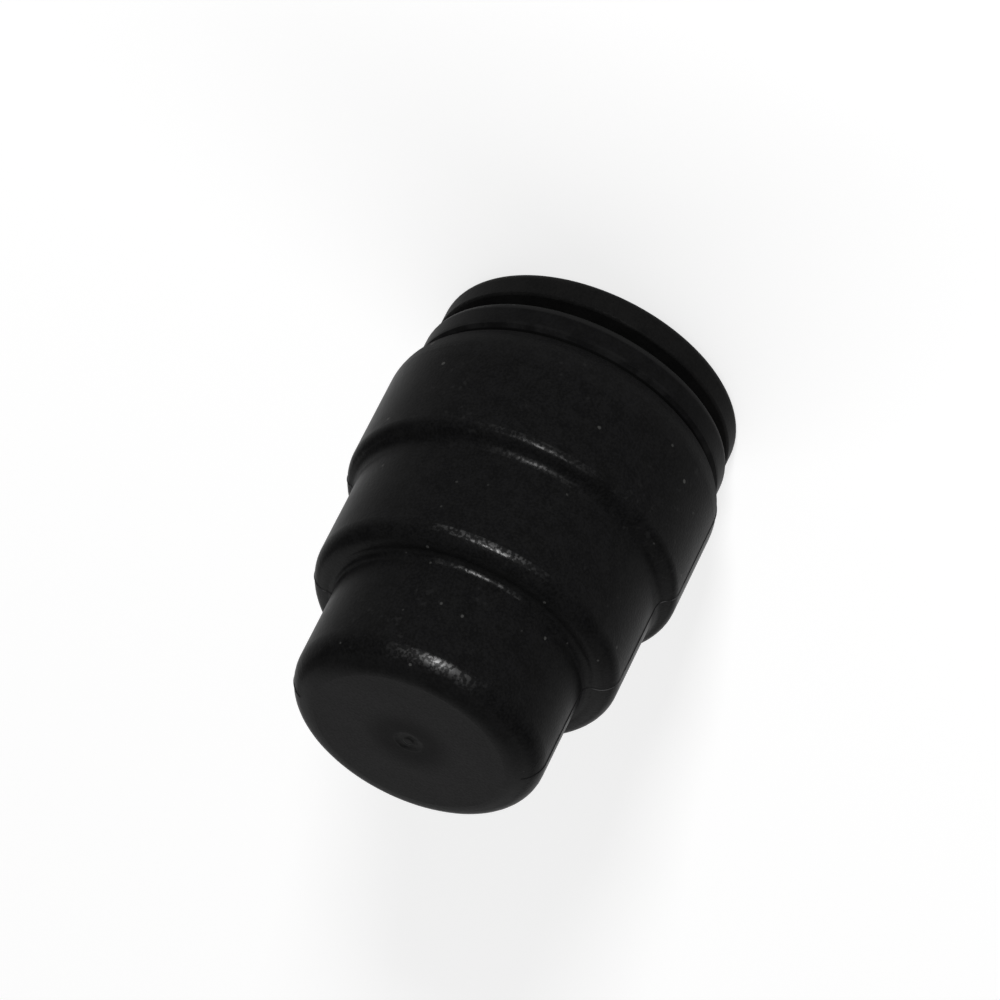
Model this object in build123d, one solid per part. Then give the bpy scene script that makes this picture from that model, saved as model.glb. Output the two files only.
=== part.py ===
# Push-fit end cap for a plain plumbing pipe.
# A stepped, closed socket stands on its mouth, with the pipe's axis on Z and the closed end up.
# Inside, from the closed end down: the pipe socket, a rubber seal, a flanged spacer, and a snapped-in
# retaining ring with a cone, in which a slotted release collet slides. Steel teeth in the collet grip the pipe.
import os
from math import atan2, cos, hypot, pi, radians, sin, tan

from build123d import *

# Pipe and seal
PIPE_DIAMETER = 15.0
SOCKET_CLEARANCE = 0.1
SEAL_BITE = 0.1
SEAL_SECTION = 2.62
SEAL_CLEARANCE = 0.03
SEAL_SLACK = 0.1

# Walls of the cap
END_WALL = 2.4
SOCKET_WALL = 2.3
SEAL_WALL = 2.1
GRIP_WALL = 2.2
SEAL_SEAT_WALL = 2.2
GRIP_STEP_WALL = 2.0

# Lengths of the three barrels along the pipe
SOCKET_BARREL = 9.7
SEAL_BARREL = 9.05
GRIP_BARREL = 10.95

# Rounded edges and feet of the barrels
END_ROUND = 2.33
SEAL_SHOULDER_ROUND = 1.5
GRIP_SHOULDER_ROUND = 1.0
GRIP_SHOULDER_DROP = 0.6
SOCKET_FOOT = 0.65
SEAL_FOOT = 1.1
ROUND_MARGIN = 0.02
MOUTH_ROUND_LENGTH = 2.65
INNER_FILLET = 0.5

# Gate mark in the middle of the closed end
GATE_DIMPLE_DIAMETER = 2.2
GATE_DIMPLE_DEPTH = 0.06
GATE_DIMPLE_SLOPE = 0.35
GATE_NUB_DIAMETER = 0.6
GATE_NUB_SLOPE = 0.15

# Spacer that holds the seal in its groove
SPACER_FLANGE = 1.1
SPACER_PIPE_CLEARANCE = 0.3
SPACER_CLEARANCE = 0.08

# Retaining ring, whose collar closes the mouth
RING_WALL = 0.9
RING_CLEARANCE = 0.05
COLLAR_HEIGHT = 2.5
COLLAR_INSET = 0.95
COLLAR_ROUND = 0.5
SEAM_DEPTH = 0.4
LAND_LENGTH = 3.6
LAND_CHAMFER = 0.3
CONE_ANGLE = 20.0
SNAP_OFFSET = 1.9
SNAP_HEIGHT = 0.3
SNAP_LAND = 0.5
SNAP_RAMP = 1.2

# Release collet
COLLET_PIPE_CLEARANCE = 0.2
COLLET_WALL = 1.3
LAND_CLEARANCE = 0.2
CONE_CLEARANCE = 0.15
HEAD_RISE = 0.9
HEAD_CLEARANCE = 0.25
HEAD_CHAMFER = 0.8
TIP_CLEARANCE = 0.3
RELEASE_TRAVEL = 1.0
STOP_CLEARANCE = 0.1
FLANGE_THICKNESS = 2.35
FLANGE_INSET = 0.35
FLANGE_ROUND = 0.88
FLANGE_BREAK = 0.2
ENTRY_CHAMFER = 0.8
FINGERS = 8
SLOT_WIDTH = 1.2
SLOT_MARGIN = 2.4

# Steel grip teeth
TOOTH_THICKNESS = 0.4
TOOTH_LEAN = 45.0
TOOTH_ROOT = 1.5
TOOTH_SIDE_MARGIN = 0.65
TOOTH_TIP_MARGIN = 0.8
GRIP_BITE = 0.1

# Radii, from the pipe outwards
pipe_radius = PIPE_DIAMETER / 2
socket_radius = pipe_radius + SOCKET_CLEARANCE
socket_outside = socket_radius + SOCKET_WALL
seal_inside = pipe_radius - SEAL_BITE
seal_chamber = seal_inside + SEAL_SECTION + SEAL_CLEARANCE
seal_outside = seal_chamber + SEAL_WALL
collet_bore = pipe_radius + COLLET_PIPE_CLEARANCE
sleeve_radius = collet_bore + COLLET_WALL
head_radius = sleeve_radius + HEAD_RISE
land_radius = sleeve_radius + LAND_CLEARANCE
cage_radius = head_radius + HEAD_CLEARANCE
ring_radius = cage_radius + RING_WALL
grip_chamber = ring_radius + RING_CLEARANCE
grip_outside = grip_chamber + GRIP_WALL
collar_radius = grip_outside - COLLAR_INSET
rim_radius = collar_radius - SEAM_DEPTH
flange_radius = collar_radius - FLANGE_INSET

# Heights, from the mouth up
flange_top = FLANGE_THICKNESS
collar_bottom = flange_top + RELEASE_TRAVEL + STOP_CLEARANCE
mouth_seat = collar_bottom + COLLAR_HEIGHT
grip_shoulder = mouth_seat + GRIP_BARREL
seal_shoulder = grip_shoulder + SEAL_BARREL
closed_end = seal_shoulder + SOCKET_BARREL
socket_end = closed_end - END_WALL
seal_seat = seal_shoulder - SEAL_SEAT_WALL
seal_groove_end = seal_seat - SEAL_SECTION - 2 * SEAL_SLACK
grip_step = grip_shoulder - GRIP_STEP_WALL
ring_top = grip_step - SPACER_FLANGE
head_top = ring_top - RELEASE_TRAVEL - TIP_CLEARANCE
land_top = collar_bottom + LAND_LENGTH
cone_slope = tan(radians(CONE_ANGLE))
cone_top = land_top + (cage_radius - land_radius) / cone_slope
head_cone_start = land_top - (LAND_CLEARANCE - CONE_CLEARANCE) / cone_slope
head_cone_top = head_cone_start + HEAD_RISE / cone_slope
snap_start = mouth_seat + SNAP_OFFSET


def turned(outline, rounds):
    """Revolve a closed outline of (radius, height) edges about Z, after rounding the named corners."""
    section = make_face(outline)
    for corner, radius in rounds:
        section = fillet(section.vertices().sort_by_distance(Vertex(*corner))[0], radius)
    return revolve(Plane.XZ * section, Axis.Z)


def snap_corners(radius, clearance):
    """Corners of the snap bead on a wall of this radius, or of its groove with a clearance round it."""
    crest = ring_radius + SNAP_HEIGHT + clearance
    rise = crest - radius
    return [
        (radius, snap_start - clearance),
        (crest, snap_start - clearance),
        (crest, snap_start + SNAP_LAND + clearance),
        (radius, snap_start + SNAP_LAND + clearance + rise * SNAP_RAMP / SNAP_HEIGHT),
    ]


# Cap body: one moulding, with three barrels outside and three bores inside; the lower shoulder slopes
seal_room = seal_outside - socket_outside - SOCKET_FOOT - ROUND_MARGIN
shoulder_edge = grip_shoulder - GRIP_SHOULDER_DROP
shoulder_width = grip_outside - seal_outside
shoulder_slope = hypot(shoulder_width, GRIP_SHOULDER_DROP)
shoulder_turn = atan2(shoulder_width, GRIP_SHOULDER_DROP)
grip_room = shoulder_slope / tan(shoulder_turn / 2) - SEAL_FOOT - ROUND_MARGIN
mouth_round_end = mouth_seat + MOUTH_ROUND_LENGTH
gate_floor = closed_end - GATE_DIMPLE_DEPTH
shell_outline = Polyline(
    (grip_outside, mouth_round_end),
    (grip_outside, shoulder_edge),
    (seal_outside, grip_shoulder),
    (seal_outside, seal_shoulder),
    (socket_outside, seal_shoulder),
    (socket_outside, closed_end),
    (GATE_DIMPLE_DIAMETER / 2, closed_end),
    (GATE_DIMPLE_DIAMETER / 2 - GATE_DIMPLE_SLOPE, gate_floor),
    (GATE_NUB_DIAMETER / 2 + GATE_NUB_SLOPE, gate_floor),
    (GATE_NUB_DIAMETER / 2, closed_end),
    (0, closed_end),
    (0, socket_end),
    (socket_radius, socket_end),
    (socket_radius, seal_seat),
    (seal_chamber, seal_seat),
    (seal_chamber, grip_step),
    (grip_chamber, grip_step),
    *reversed(snap_corners(grip_chamber, RING_CLEARANCE)),
    (grip_chamber, mouth_seat),
    (rim_radius, mouth_seat),
)
mouth_arc = TangentArc((grip_outside, mouth_round_end), (rim_radius, mouth_seat), tangent=(0, -1))
cap_body = turned(
    shell_outline + mouth_arc,
    [
        ((grip_outside, shoulder_edge), min(GRIP_SHOULDER_ROUND, grip_room)),
        ((seal_outside, grip_shoulder), SEAL_FOOT),
        ((seal_outside, seal_shoulder), min(SEAL_SHOULDER_ROUND, seal_room)),
        ((socket_outside, seal_shoulder), SOCKET_FOOT),
        ((socket_outside, closed_end), END_ROUND),
        ((socket_radius, socket_end), INNER_FILLET),
    ],
)

# Seal ring: rubber, in the groove between the cap's seat and the spacer
seal_centre = seal_inside + SEAL_SECTION / 2
seal_height = seal_seat - SEAL_SLACK - SEAL_SECTION / 2
seal_ring = Pos(0, 0, seal_height) * Torus(seal_centre, SEAL_SECTION / 2)

# Seal spacer: a sleeve that ends the seal's groove, with a flange held under the retaining ring
spacer_inside = pipe_radius + SPACER_PIPE_CLEARANCE
spacer_sleeve = seal_chamber - SPACER_CLEARANCE
spacer_flange = grip_chamber - SPACER_CLEARANCE
seal_spacer = turned(
    Polyline(
        (spacer_inside, ring_top),
        (spacer_flange, ring_top),
        (spacer_flange, grip_step),
        (spacer_sleeve, grip_step),
        (spacer_sleeve, seal_groove_end),
        (spacer_inside, seal_groove_end),
        close=True,
    ),
    [],
)

# Retaining ring: snapped into the mouth, with a cone inside and the collar outside
collar_seam = mouth_seat - SEAM_DEPTH
retaining_ring = turned(
    Polyline(
        (ring_radius, ring_top),
        *reversed(snap_corners(ring_radius, 0)),
        (ring_radius, mouth_seat),
        (rim_radius, mouth_seat),
        (collar_radius, collar_seam),
        (collar_radius, collar_bottom),
        (land_radius + LAND_CHAMFER, collar_bottom),
        (land_radius, collar_bottom + LAND_CHAMFER),
        (land_radius, land_top),
        (cage_radius, cone_top),
        (cage_radius, ring_top),
        close=True,
    ),
    [((collar_radius, collar_bottom), COLLAR_ROUND)],
)

# Grip teeth: steel blades that lean towards the closed end, with an edge on a circle just inside the pipe
finger_pitch = 360 / FINGERS
finger_width = 2 * collet_bore * sin(pi / FINGERS) - SLOT_WIDTH
tooth_width = finger_width - 2 * TOOTH_SIDE_MARGIN
tooth_edge = pipe_radius - GRIP_BITE
tooth_length = (collet_bore + TOOTH_ROOT - tooth_edge) / cos(radians(TOOTH_LEAN))
blade = Pos(-TOOTH_THICKNESS, 0, 0) * Box(
    tooth_length + TOOTH_THICKNESS,
    tooth_width,
    TOOTH_THICKNESS,
    align=(Align.MIN, Align.CENTER, Align.CENTER),
)
leaning_blade = Pos(tooth_edge, 0, head_top - TOOTH_TIP_MARGIN) * Rot(0, TOOTH_LEAN, 0) * blade
pipe_path = Cylinder(tooth_edge, closed_end, align=(Align.CENTER, Align.CENTER, Align.MIN))
tooth = leaning_blade - pipe_path
teeth = [Rot(0, 0, finger_pitch * (index + 0.5)) * tooth for index in range(FINGERS)]

# Release collet: a flanged sleeve, slotted into spring fingers with coned heads that carry the teeth
collet = turned(
    Polyline(
        (collet_bore + ENTRY_CHAMFER, 0),
        (flange_radius, 0),
        (flange_radius, flange_top),
        (sleeve_radius, flange_top),
        (sleeve_radius, head_cone_start),
        (head_radius, head_cone_top),
        (head_radius, head_top - HEAD_CHAMFER),
        (head_radius - HEAD_CHAMFER, head_top),
        (collet_bore, head_top),
        (collet_bore, ENTRY_CHAMFER),
        close=True,
    ),
    [
        ((flange_radius, 0), FLANGE_ROUND),
        ((flange_radius, flange_top), FLANGE_BREAK),
    ],
)
slot_floor = flange_top + SLOT_MARGIN
slot_root = slot_floor + SLOT_WIDTH / 2
slot_sides = Box(head_radius, SLOT_WIDTH, head_top, align=(Align.MIN, Align.CENTER, Align.MIN))
slot_end = Rot(0, 90, 0) * Cylinder(SLOT_WIDTH / 2, head_radius, align=(Align.CENTER, Align.CENTER, Align.MIN))
slot = Pos(0, 0, slot_root) * (slot_sides + slot_end)
for index in range(FINGERS):
    collet -= Rot(0, 0, finger_pitch * index) * slot
for tooth_place in teeth:
    collet -= tooth_place

# One file for each piece
pieces = {
    "cap_body": cap_body,
    "seal_ring": seal_ring,
    "seal_spacer": seal_spacer,
    "retaining_ring": retaining_ring,
    "release_collet": collet,
}
for index, tooth_place in enumerate(teeth, start=1):
    pieces[f"grip_tooth_{index}"] = tooth_place

os.makedirs("parts", exist_ok=True)
for name, solid in pieces.items():
    export_step(solid, f"parts/{name}.step")
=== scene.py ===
from math import cos, pi, radians, sin

import bpy
from mathutils import Matrix, Vector


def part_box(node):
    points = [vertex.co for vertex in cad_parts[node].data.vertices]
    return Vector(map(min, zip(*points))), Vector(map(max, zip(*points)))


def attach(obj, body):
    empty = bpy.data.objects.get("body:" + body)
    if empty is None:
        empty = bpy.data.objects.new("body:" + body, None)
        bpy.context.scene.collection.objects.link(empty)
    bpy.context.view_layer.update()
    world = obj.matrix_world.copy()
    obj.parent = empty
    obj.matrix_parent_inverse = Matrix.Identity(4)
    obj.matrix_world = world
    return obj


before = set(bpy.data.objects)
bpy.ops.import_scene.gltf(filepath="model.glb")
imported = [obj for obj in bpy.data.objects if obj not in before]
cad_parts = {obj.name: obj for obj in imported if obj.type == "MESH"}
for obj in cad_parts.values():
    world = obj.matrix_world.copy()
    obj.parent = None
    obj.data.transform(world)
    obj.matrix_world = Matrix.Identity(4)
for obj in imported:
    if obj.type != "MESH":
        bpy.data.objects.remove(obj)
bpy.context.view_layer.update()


# Cap body
# One black moulding with a fine spark-eroded grain, closed at the top and stepped in three barrels.
# It is shot through a gate in the middle of the closed end. Handling has polished the edges and left dust.
class Wire:
    """A shader socket. Sums on it add Math nodes to its tree, and node() adds any other node."""

    def __init__(self, tree, socket=None):
        self.tree = tree
        self.socket = socket

    def node(self, kind, settings=None, inputs=None, output=0):
        made = self.tree.nodes.new("ShaderNode" + kind)
        for name, value in (settings or {}).items():
            setattr(made, name, value)
        for name, value in (inputs or {}).items():
            if isinstance(value, Wire):
                self.tree.links.new(value.socket, made.inputs[name])
            else:
                made.inputs[name].default_value = value
        return Wire(self.tree, made.outputs[output])

    def math(self, operation, first, second=0.0):
        return self.node("Math", {"operation": operation}, {0: first, 1: second})

    def __add__(self, other):
        return self.math("ADD", self, other)

    def __radd__(self, other):
        return self.math("ADD", other, self)

    def __sub__(self, other):
        return self.math("SUBTRACT", self, other)

    def __rsub__(self, other):
        return self.math("SUBTRACT", other, self)

    def __mul__(self, other):
        return self.math("MULTIPLY", self, other)

    def __rmul__(self, other):
        return self.math("MULTIPLY", other, self)

    def __truediv__(self, other):
        return self.math("DIVIDE", self, other)

    def step(self, start, end):
        """0 below start, 1 above end, and smooth between them; start may be the higher one."""
        settings = {"interpolation_type": "SMOOTHSTEP"}
        inputs = {"Value": self, "From Min": start, "From Max": end}
        return self.node("MapRange", settings, inputs)

    def blend(self, low, high):
        """The colour low where this is 0 and high where it is 1."""
        inputs = {"Factor": self, 6: low, 7: high}
        return self.node("Mix", {"data_type": "RGBA"}, inputs, output=2)


def new_finish(name):
    """An empty material, with a wire to its tree and its Principled shader."""
    material = bpy.data.materials.new(name)
    material.use_nodes = True
    tree = material.node_tree
    tree.nodes.clear()
    shader = tree.nodes.new("ShaderNodeBsdfPrincipled")
    output = tree.nodes.new("ShaderNodeOutputMaterial")
    tree.links.new(shader.outputs["BSDF"], output.inputs["Surface"])
    return material, Wire(tree), shader


def feed(shader, socket, wire):
    wire.tree.links.new(wire.socket, shader.inputs[socket])


def emboss(shader, relief):
    """Let a height in metres tilt the surface."""
    bump = relief.node("Bump", inputs={"Strength": 1.0, "Distance": 1.0, "Height": relief})
    feed(shader, "Normal", bump)


def dress(piece, material):
    piece.data.materials.clear()
    piece.data.materials.append(material)


def noise(wire, place, size, detail=2.0, roughness=0.5):
    """Noise from 0 to 1 whose lumps are about this size, in metres."""
    settings = {"noise_dimensions": "3D"}
    inputs = {"Vector": place, "Scale": 1 / size, "Detail": detail, "Roughness": roughness}
    return wire.node("TexNoise", settings, inputs)


def radius_and_height(wire, place):
    """How far a point lies from the pipe's axis, and how high it is."""
    flat = wire.node("VectorMath", {"operation": "MULTIPLY"}, {0: place, 1: (1, 1, 0)})
    radius = wire.node("VectorMath", {"operation": "LENGTH"}, {0: flat}, output="Value")
    height = wire.node("SeparateXYZ", inputs={0: place}, output="Z")
    return radius, height


def near_ring(wire, radius, height, ring, reach):
    """1 close to a ring round the axis, given by its radius and height, and 0 from its reach on."""
    section = wire.node("CombineXYZ", inputs={0: radius, 1: height})
    corner = {0: section, 1: (ring[0], ring[1], 0)}
    away = wire.node("VectorMath", {"operation": "DISTANCE"}, corner, output="Value")
    return away.step(1.1 * reach, 0.7 * reach)


def near_rings(wire, radius, height, rings):
    """The sum of several rings, each given by its place, its reach and its share."""
    total = 0.0
    for ring, reach, share in rings:
        total = total + near_ring(wire, radius, height, ring, reach) * share
    return total


def cells(wire, place, size, dimensions="3D"):
    """Cells of this size: how far a point is from its cell's middle, and two random numbers of the cell."""
    settings = {"feature": "F1", "voronoi_dimensions": dimensions}
    inputs = {"Vector": place, "Scale": 1 / size}
    away = wire.node("TexVoronoi", settings, inputs, output="Distance")
    draw = wire.node("TexVoronoi", settings, inputs, output="Color")
    first = wire.node("SeparateColor", inputs={0: draw}, output=0)
    second = wire.node("SeparateColor", inputs={0: draw}, output=1)
    return away, first, second


CLOSED_END = 0.03565
END_BAND = 0.0004
SKIN_RADIUS = 0.01215
END_EDGE = (0.0096, 0.03448)
END_ROUNDING = (0.0087, 0.0354)
UPPER_FOOT = (0.00998, 0.02628)
UPPER_SHOULDER = (0.0107, 0.02595)
UPPER_EDGE = (0.01211, 0.02486)
LOWER_FOOT = (0.01227, 0.0171)
LOWER_EDGE = (0.01327, 0.01595)
MOUTH_ROUNDING = (0.0132, 0.0082)
# Each ring has its radius and height, its reach and its share
POLISHED = (
    (END_EDGE, 0.00062, 0.9),
    (UPPER_FOOT, 0.0002, 0.65),
    (UPPER_EDGE, 0.00032, 0.8),
    (LOWER_FOOT, 0.0003, 0.19),
    (LOWER_EDGE, 0.0003, 0.25),
)
# Rings painted a lighter grey, a painted fill light in the shade of the roundings and the upper shoulder
PAINTED_FILL_RINGS = (
    (END_ROUNDING, 0.0008, 0.16),
    (UPPER_SHOULDER, 0.0006, 0.21),
    (MOUTH_ROUNDING, 0.0012, 0.14),
)
HANDLED_LEAN = 0.09
HANDLED_FADE = (0.9, 0.995)
POLISHED_SPOT = 0.00028
POLISHED_PATCH = 0.0016
POLISHED_ROUGHNESS = 0.34
SPARK_GRAIN = 0.0002
SPARK_DEPTH = 0.000016
END_SPARK_DEPTH = 0.000008
MOULD_MOTTLE = 0.0012
MOTTLE_DEPTH = 0.00001
WALL_SWELL = 0.006
SWELL_DEPTH = 0.00006
GATE_BLUSH = 0.0042
GATE_MARK = 0.0011
DULL_MOUTH = 0.0086
MOUTH_FADE = 0.0018
LINT_SIZE = 0.0006
DUST_SPACING = 0.0026
BLACK_GLOSS = 0.017
CAP_BLACK = (0.0039, 0.0039, 0.004, 1)
CAP_PALE = (0.0077, 0.0077, 0.0079, 1)
BLUSH_BLACK = (0.002, 0.002, 0.002, 1)
GATE_GREY = (0.0098, 0.0098, 0.0098, 1)
SCUFF_GREY = (0.015, 0.015, 0.015, 1)
DUST_WHITE = (0.06, 0.06, 0.058, 1)

moulding, wire, shader = new_finish("cap_plastic")
place = wire.node("TexCoord", output="Object")
radius, height = radius_and_height(wire, place)
east = wire.node("SeparateXYZ", inputs={0: place}, output="X")
north = wire.node("SeparateXYZ", inputs={0: place}, output="Y")
grain = noise(wire, place, SPARK_GRAIN, detail=1.0)
mottle = noise(wire, place, MOULD_MOTTLE, detail=3.0)
swell = noise(wire, place, WALL_SWELL, detail=1.0)
lint = noise(wire, place, LINT_SIZE, detail=1.0)
closed_end = height.step(CLOSED_END - END_BAND, CLOSED_END - END_BAND / 2)
blush = radius.step(GATE_BLUSH, GATE_BLUSH * 0.4) * closed_end
gate = radius.step(GATE_MARK * 1.2, GATE_MARK) * closed_end
mouth = height.step(DULL_MOUTH, DULL_MOUTH - MOUTH_FADE)

# The front of the edges is polished in flecks, where hands have rubbed it
handled = ((east * HANDLED_LEAN - north) / radius).step(*HANDLED_FADE)
flecks = noise(wire, place, POLISHED_SPOT, detail=1.0).step(0.44, 0.62)
patches = noise(wire, place, POLISHED_PATCH, detail=1.0).step(0.3, 0.6)
polished = near_rings(wire, radius, height, POLISHED) * handled
feed(shader, "Coat Weight", polished * (0.12 + flecks * (0.45 + patches * 0.55)))

# Dust lies in specks and faint scuffs on the walls. The end rounding, the upper shoulder and the mouth
# rounding are painted a lighter grey, a painted fill light that lifts the shade in them.
bearing = wire.math("ARCTAN2", north, east)
skin = wire.node("CombineXYZ", inputs={0: bearing * SKIN_RADIUS, 1: height - radius})
away, draw, size = cells(wire, skin, DUST_SPACING, dimensions="2D")
specks = draw.step(0.78, 0.781) * (away - size * 0.03).step(0.045, 0.012) * (0.2 + size * 0.7)
scuffs = lint.step(0.66, 0.74) * swell.step(0.5, 0.6) * (1 - closed_end)
painted_fill = near_rings(wire, radius, height, PAINTED_FILL_RINGS)

colour = (mottle * 0.4 + grain * 0.6).step(0.32, 0.68).blend(CAP_BLACK, CAP_PALE)
colour = (blush * 0.6).blend(colour, BLUSH_BLACK)
colour = (gate * lint.step(0.3, 0.6)).blend(colour, GATE_GREY)
colour = (scuffs * 0.5 + painted_fill).blend(colour, SCUFF_GREY)
colour = (specks * (1 - closed_end)).blend(colour, DUST_WHITE)
feed(shader, "Base Color", colour)
feed(shader, "Roughness", 0.3 + mottle * 0.1 + blush * 0.14 + mouth * 0.35)
spark_depth = SPARK_DEPTH - closed_end * END_SPARK_DEPTH
emboss(shader, grain * spark_depth + mottle * MOTTLE_DEPTH + swell * SWELL_DEPTH)
shader.inputs["Specular IOR Level"].default_value = BLACK_GLOSS
shader.inputs["Coat Roughness"].default_value = POLISHED_ROUGHNESS
dress(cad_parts["cap_body"], moulding)


# Parting lines
# Two hairline ridges where the halves of the mould met, running up opposite sides of the cap body.
# They are flash of the same plastic, cut from the body's own outline at the plane where the mould parts.
PARTING_TURN = radians(13)
RIDGE_RADIUS = 0.00005
MERGE_DISTANCE = 0.000001
SOCKET_WALL_START = 0.0249
SOCKET_WALL_MIDDLE = 0.0087
LOWER_WALL_MIDDLE = 0.0116
MOUTH_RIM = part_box("cap_body")[0][2]
RIM_MARGIN = 0.0001
TORN_SIZE = 0.0008
HIGHLIGHT_REACH = 0.0022
FLASH_BLACK = (0.0085, 0.0085, 0.0087, 1)
FLASH_HIGHLIGHT = (0.05, 0.05, 0.051, 1)

parting_line = bpy.data.objects.new("parting_line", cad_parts["cap_body"].data.copy())
bpy.context.scene.collection.objects.link(parting_line)
bpy.ops.object.select_all(action="DESELECT")
bpy.context.view_layer.objects.active = parting_line
parting_line.select_set(True)
bpy.ops.object.mode_set(mode="EDIT")
bpy.ops.mesh.select_all(action="SELECT")
bpy.ops.mesh.remove_doubles(threshold=MERGE_DISTANCE)
across_parting = (-sin(PARTING_TURN), cos(PARTING_TURN), 0)
bpy.ops.mesh.bisect(plane_co=(0, 0, 0), plane_no=across_parting, clear_inner=True, clear_outer=True)
bpy.ops.mesh.select_all(action="DESELECT")
bpy.ops.object.mode_set(mode="OBJECT")
for corner in parting_line.data.vertices:
    wall_middle = SOCKET_WALL_MIDDLE if corner.co.z > SOCKET_WALL_START else LOWER_WALL_MIDDLE
    corner.select = corner.co.xy.length < wall_middle or corner.co.z < MOUTH_RIM + RIM_MARGIN
bpy.ops.object.mode_set(mode="EDIT")
bpy.ops.mesh.delete(type="VERT")
bpy.ops.object.mode_set(mode="OBJECT")
bpy.ops.object.convert(target="CURVE")
parting_line.data.bevel_depth = RIDGE_RADIUS
parting_line.data.bevel_resolution = 1
parting_line.data.use_fill_caps = True
bpy.ops.object.convert(target="MESH")

flash, wire, shader = new_finish("parting_flash")
place = wire.node("TexCoord", output="Object")
radius, height = radius_and_height(wire, place)
torn = noise(wire, place, TORN_SIZE, detail=3.0)
# Painted highlight: near the shoulders' edges the ridge is painted pale in torn patches
highlit_near_edges = near_rings(wire, radius, height, ((UPPER_EDGE, HIGHLIGHT_REACH, 1.0), (LOWER_EDGE, HIGHLIGHT_REACH, 1.0)))
feed(shader, "Base Color", (highlit_near_edges * torn.step(0.35, 0.6)).blend(FLASH_BLACK, FLASH_HIGHLIGHT))
feed(shader, "Roughness", 0.4 + torn * 0.2)
shader.inputs["Specular IOR Level"].default_value = BLACK_GLOSS
dress(parting_line, flash)
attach(parting_line, "cap")


# Seal ring
# A moulded rubber ring that lies loose in its groove and is squeezed on to the pipe.
# Its skin is dull, with a grey bloom and a little grease from assembly.
BLOOM_SIZE = 0.0016
RUBBER_SKIN = 0.00025
RUBBER_SKIN_DEPTH = 0.00001
GREASE_SIZE = 0.004
INNER_GLOSS = 0.25
RUBBER_BLACK = (0.006, 0.006, 0.0065, 1)
RUBBER_BLOOM = (0.016, 0.016, 0.017, 1)

rubber, wire, shader = new_finish("seal_rubber")
place = wire.node("TexCoord", output="Object")
bloom = noise(wire, place, BLOOM_SIZE, detail=4.0)
grease = noise(wire, place, GREASE_SIZE, detail=2.0).step(0.5, 0.62)
feed(shader, "Base Color", bloom.step(0.45, 0.75).blend(RUBBER_BLACK, RUBBER_BLOOM))
feed(shader, "Roughness", 0.6 + bloom * 0.15 - grease * 0.3)
emboss(shader, noise(wire, place, RUBBER_SKIN, detail=1.0) * RUBBER_SKIN_DEPTH)
shader.inputs["Specular IOR Level"].default_value = INNER_GLOSS
dress(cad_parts["seal_ring"], rubber)


# Seal spacer
# A turned-looking sleeve and flange moulded in dark grey plastic, loose between the seal and the ring.
# The faint rings on it are left by the tool that cut its mould.
SPACER_CLOUD = 0.002
TOOL_PITCH = 0.00022
TOOL_DEPTH = 0.0000012
SPACER_GREY = (0.019, 0.019, 0.02, 1)
SPACER_PALE = (0.026, 0.026, 0.027, 1)

grey_plastic, wire, shader = new_finish("spacer_plastic")
place = wire.node("TexCoord", output="Object")
radius, height = radius_and_height(wire, place)
cloud = noise(wire, place, SPACER_CLOUD, detail=3.0)
tooling = wire.math("SINE", (radius + height) * (2 * pi / TOOL_PITCH))
feed(shader, "Base Color", cloud.step(0.35, 0.7).blend(SPACER_GREY, SPACER_PALE))
feed(shader, "Roughness", 0.36 + cloud * 0.14)
emboss(shader, tooling * TOOL_DEPTH)
shader.inputs["Specular IOR Level"].default_value = INNER_GLOSS
dress(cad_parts["seal_spacer"], grey_plastic)


# Retaining ring
# A black moulding snapped into the mouth, of which only the collar shows below the seam.
# Its skin is smoother than the cap's. Dust lies along the seam, the foot of the seam is painted darker as
# painted shade, and the collar's lower rim is painted grey as a painted highlight.
RING_CLOUD = 0.0014
RING_SKIN_DEPTH = 0.00001
RING_DUST_SPACING = 0.0011
SEAM_BOTTOM = (0.01195, 0.00595)
SEAM_SHADE_REACH = 0.00022
SEAM_EDGE = (0.0123, 0.0056)
SEAM_DUST_REACH = 0.00034
COLLAR_RIM = (0.0123, 0.0036)
RIM_HIGHLIGHT_REACH = 0.0005
RING_BLACK = (0.0041, 0.0041, 0.0042, 1)
RING_PALE = (0.0067, 0.0067, 0.0069, 1)
SEAM_SHADE_BLACK = (0.0022, 0.0022, 0.0022, 1)

satin, wire, shader = new_finish("ring_plastic")
place = wire.node("TexCoord", output="Object")
radius, height = radius_and_height(wire, place)
grain = noise(wire, place, SPARK_GRAIN, detail=1.0)
cloud = noise(wire, place, RING_CLOUD, detail=3.0)
seam_shade = near_ring(wire, radius, height, SEAM_BOTTOM, SEAM_SHADE_REACH)
dusty = near_ring(wire, radius, height, SEAM_EDGE, SEAM_DUST_REACH)
rim_highlight = near_ring(wire, radius, height, COLLAR_RIM, RIM_HIGHLIGHT_REACH)
away, draw, size = cells(wire, place, RING_DUST_SPACING)
specks = draw.step(0.9, 0.901) * (away - size * 0.04).step(0.1, 0.03)
colour = (cloud * 0.5 + grain * 0.5).step(0.32, 0.68).blend(RING_BLACK, RING_PALE)
colour = (dusty * cloud.step(0.4, 0.65) * 0.3).blend(colour, SCUFF_GREY)
# Painted shade: the ring is darkened at the foot of the seam, where the body and the collar meet
colour = (seam_shade * 0.8).blend(colour, SEAM_SHADE_BLACK)
# Painted highlight: the collar's lower rim is painted grey
colour = (rim_highlight * 0.75).blend(colour, SCUFF_GREY)
colour = (specks * 0.35).blend(colour, DUST_WHITE)
feed(shader, "Base Color", colour)
feed(shader, "Roughness", 0.36 + cloud * 0.1 + dusty * 0.1)
emboss(shader, (grain + cloud) * RING_SKIN_DEPTH)
shader.inputs["Specular IOR Level"].default_value = BLACK_GLOSS
dress(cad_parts["retaining_ring"], satin)


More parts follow.
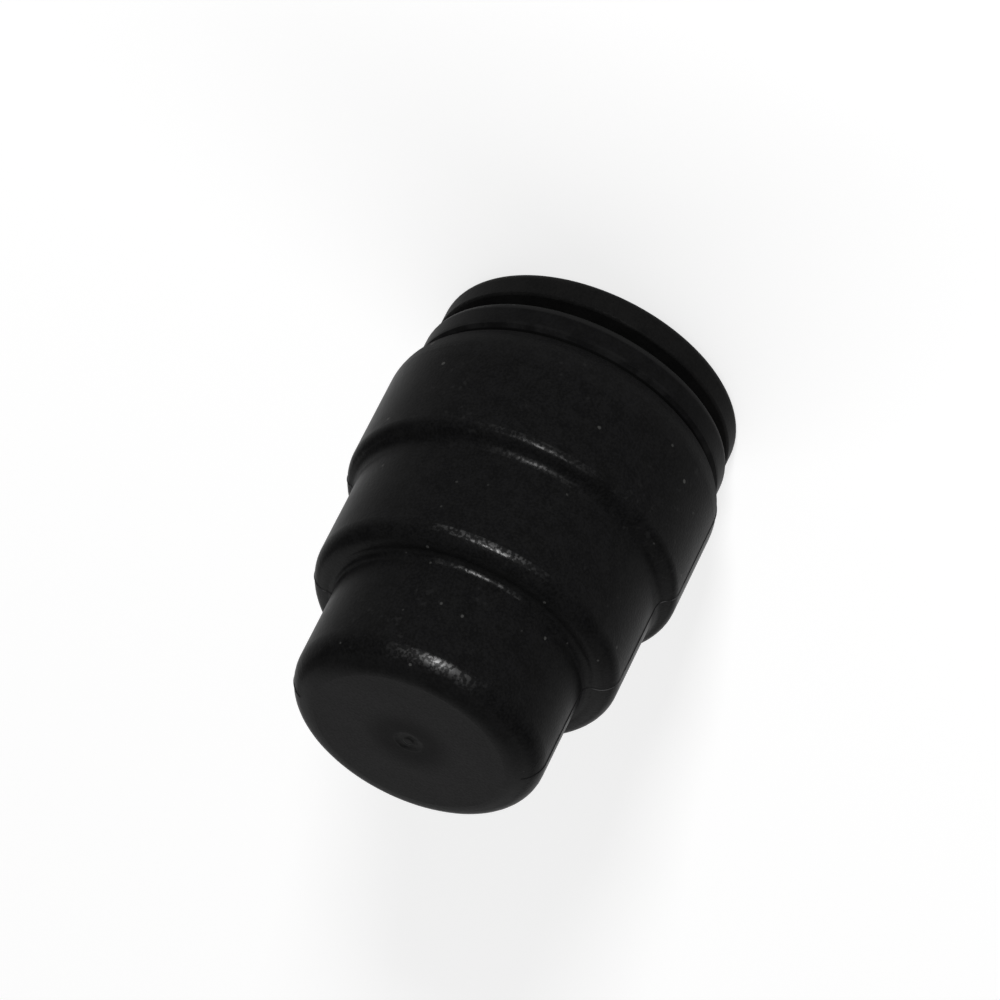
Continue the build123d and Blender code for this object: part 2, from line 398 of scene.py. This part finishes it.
# Release collet
# A black slippery moulding, slotted into sprung fingers, that slides in the retaining ring.
# Its flange is dull from handling, and the sleeve is rubbed a little brighter where it slides.
COLLET_CLOUD = 0.0018
COLLET_CLOUD_DEPTH = 0.000015
COLLET_GRAIN_DEPTH = 0.000012
COLLET_DUST_SPACING = 0.0012
FLANGE_TOP = 0.00235
SLIDING_FADE = 0.0006
COLLET_BLACK = (0.0052, 0.0052, 0.0052, 1)
COLLET_PALE = (0.0082, 0.0081, 0.008, 1)

slippery, wire, shader = new_finish("collet_plastic")
place = wire.node("TexCoord", output="Object")
height = wire.node("SeparateXYZ", inputs={0: place}, output="Z")
grain = noise(wire, place, SPARK_GRAIN, detail=1.0)
cloud = noise(wire, place, COLLET_CLOUD, detail=3.0)
sliding = height.step(FLANGE_TOP, FLANGE_TOP + SLIDING_FADE)
away, draw, size = cells(wire, place, COLLET_DUST_SPACING)
specks = draw.step(0.9, 0.901) * (away - size * 0.04).step(0.1, 0.03)
colour = (cloud * 0.5 + grain * 0.5).step(0.32, 0.68).blend(COLLET_BLACK, COLLET_PALE)
colour = (specks * 0.3).blend(colour, DUST_WHITE)
feed(shader, "Base Color", colour)
feed(shader, "Roughness", 0.42 + cloud * 0.1 - sliding * 0.1)
emboss(shader, grain * COLLET_GRAIN_DEPTH + cloud * COLLET_CLOUD_DEPTH)
shader.inputs["Specular IOR Level"].default_value = BLACK_GLOSS
dress(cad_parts["release_collet"], slippery)


# Grip teeth
# Eight blades stamped from stainless spring strip and moulded into the collet's fingers.
# The strip has fine rolling lines, and the ground edges that bite the pipe are a little brighter.
TEETH = 8
ROLLING_SIZE = 0.00012
ROLLING_STRETCH = 0.12
ROLLING_DEPTH = 0.000003
BITING_EDGE = 0.0077
GROUND_WIDTH = 0.0002
STEEL_DARK = (0.44, 0.43, 0.42, 1)
STEEL_BRIGHT = (0.62, 0.61, 0.6, 1)

steel, wire, shader = new_finish("tooth_steel")
place = wire.node("TexCoord", output="Object")
radius, _ = radius_and_height(wire, place)
drawn_out = wire.node("VectorMath", {"operation": "MULTIPLY"}, {0: place, 1: (1, 1, ROLLING_STRETCH)})
rolling = noise(wire, drawn_out, ROLLING_SIZE, detail=2.0)
ground = radius.step(BITING_EDGE, BITING_EDGE - GROUND_WIDTH)
feed(shader, "Base Color", (rolling * 0.7 + ground * 0.3).blend(STEEL_DARK, STEEL_BRIGHT))
feed(shader, "Roughness", 0.28 + rolling * 0.16 - ground * 0.08)
emboss(shader, rolling * ROLLING_DEPTH)
shader.inputs["Metallic"].default_value = 1.0
for number in range(1, TEETH + 1):
    dress(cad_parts[f"grip_tooth_{number}"], steel)


# Floor
# A plain white sheet under the part, wide enough to fill the view from every side.
# Rays that reach the camera see it lit up to white; the rest of its light is the lamps' own, with the shadow.
FLOOR_RADIUS = 3.0
FLOOR_HEIGHT = -0.00005
FLOOR_PATCH = 0.2
FLOOR_PAINT = (0.5, 0.5, 0.5, 1)
FLOOR_PALER = (0.52, 0.52, 0.52, 1)
FLOOR_DARK = (0, 0, 0, 1)
FLOOR_GLOW = (0.64, 0.64, 0.64, 1)

bpy.ops.object.select_all(action="DESELECT")
floor_middle = (0, 0, FLOOR_HEIGHT)
bpy.ops.mesh.primitive_circle_add(vertices=96, radius=FLOOR_RADIUS, fill_type="NGON", location=floor_middle)
bpy.ops.object.transform_apply(location=True, rotation=False, scale=False)
floor = bpy.context.object
floor.name = "floor"
floor_paint, wire, shader = new_finish("floor_paint")
place = wire.node("TexCoord", output="Object")
feed(shader, "Base Color", noise(wire, place, FLOOR_PATCH).blend(FLOOR_PAINT, FLOOR_PALER))
seen = 0.0
for ray in ("Is Camera Ray", "Is Glossy Ray", "Is Transmission Ray"):
    seen = seen + wire.node("LightPath", output=ray)
feed(shader, "Emission Color", seen.step(0.0, 1.0).blend(FLOOR_DARK, FLOOR_GLOW))
shader.inputs["Emission Strength"].default_value = 1.0
shader.inputs["Roughness"].default_value = 0.8
shader.inputs["Specular IOR Level"].default_value = 0.0
dress(floor, floor_paint)


# Lamps
# A lamp in front, near the camera, a wide soft panel behind that the closed end mirrors,
# and an even white surround that fills the shadows.
def soft_lamp(name, place, target, width, height, watts):
    light = bpy.data.lights.new(name, "AREA")
    light.shape = "RECTANGLE"
    light.size = width
    light.size_y = height
    light.energy = watts
    lamp = bpy.data.objects.new(name, light)
    bpy.context.scene.collection.objects.link(lamp)
    lamp.location = place
    lamp.rotation_euler = (Vector(target) - Vector(place)).to_track_quat("-Z", "Y").to_euler()


PART_MIDDLE = (0, 0, 0.018)
SURROUND_STRENGTH = 0.12

soft_lamp("front_light", (0.092, -0.65, 0.258), PART_MIDDLE, 0.08, 0.08, 4.2)
soft_lamp("back_panel", (-0.35, 1.02, 0.65), PART_MIDDLE, 3.0, 1.0, 17.0)

world = bpy.data.worlds.new("surround")
bpy.context.scene.world = world
world.use_nodes = True
surround = world.node_tree.nodes["Background"]
surround.inputs["Color"].default_value = (1, 1, 1, 1)
surround.inputs["Strength"].default_value = SURROUND_STRENGTH


# Camera
# A long lens, whose line of sight comes down on the closed end.
# The picture is turned, so that the closed end points down and to the left.
VIEW_ELEVATION = radians(32.2)
VIEW_TURN = radians(63.16)
CAMERA_DISTANCE = 0.535
FOCAL_LENGTH = 258.2
SENSOR_WIDTH = 36.0
AIM = Vector((0.0020, 0, 0.01348))

towards_camera = Vector((0, -cos(VIEW_ELEVATION), sin(VIEW_ELEVATION)))
axis_in_view = Vector((0, sin(VIEW_ELEVATION), cos(VIEW_ELEVATION)))
across_view = towards_camera.cross(axis_in_view)
picture_right = -cos(VIEW_TURN) * axis_in_view + sin(VIEW_TURN) * across_view
picture_up = -sin(VIEW_TURN) * axis_in_view - cos(VIEW_TURN) * across_view
lens = bpy.data.cameras.new("camera")
lens.sensor_width = SENSOR_WIDTH
lens.lens = FOCAL_LENGTH
camera = bpy.data.objects.new("camera", lens)
bpy.context.scene.collection.objects.link(camera)
turn = Matrix((picture_right, picture_up, towards_camera)).transposed()
camera.matrix_world = Matrix.Translation(AIM + CAMERA_DISTANCE * towards_camera) @ turn.to_4x4()
bpy.context.scene.camera = camera
bpy.context.scene.view_settings.view_transform = "Standard"
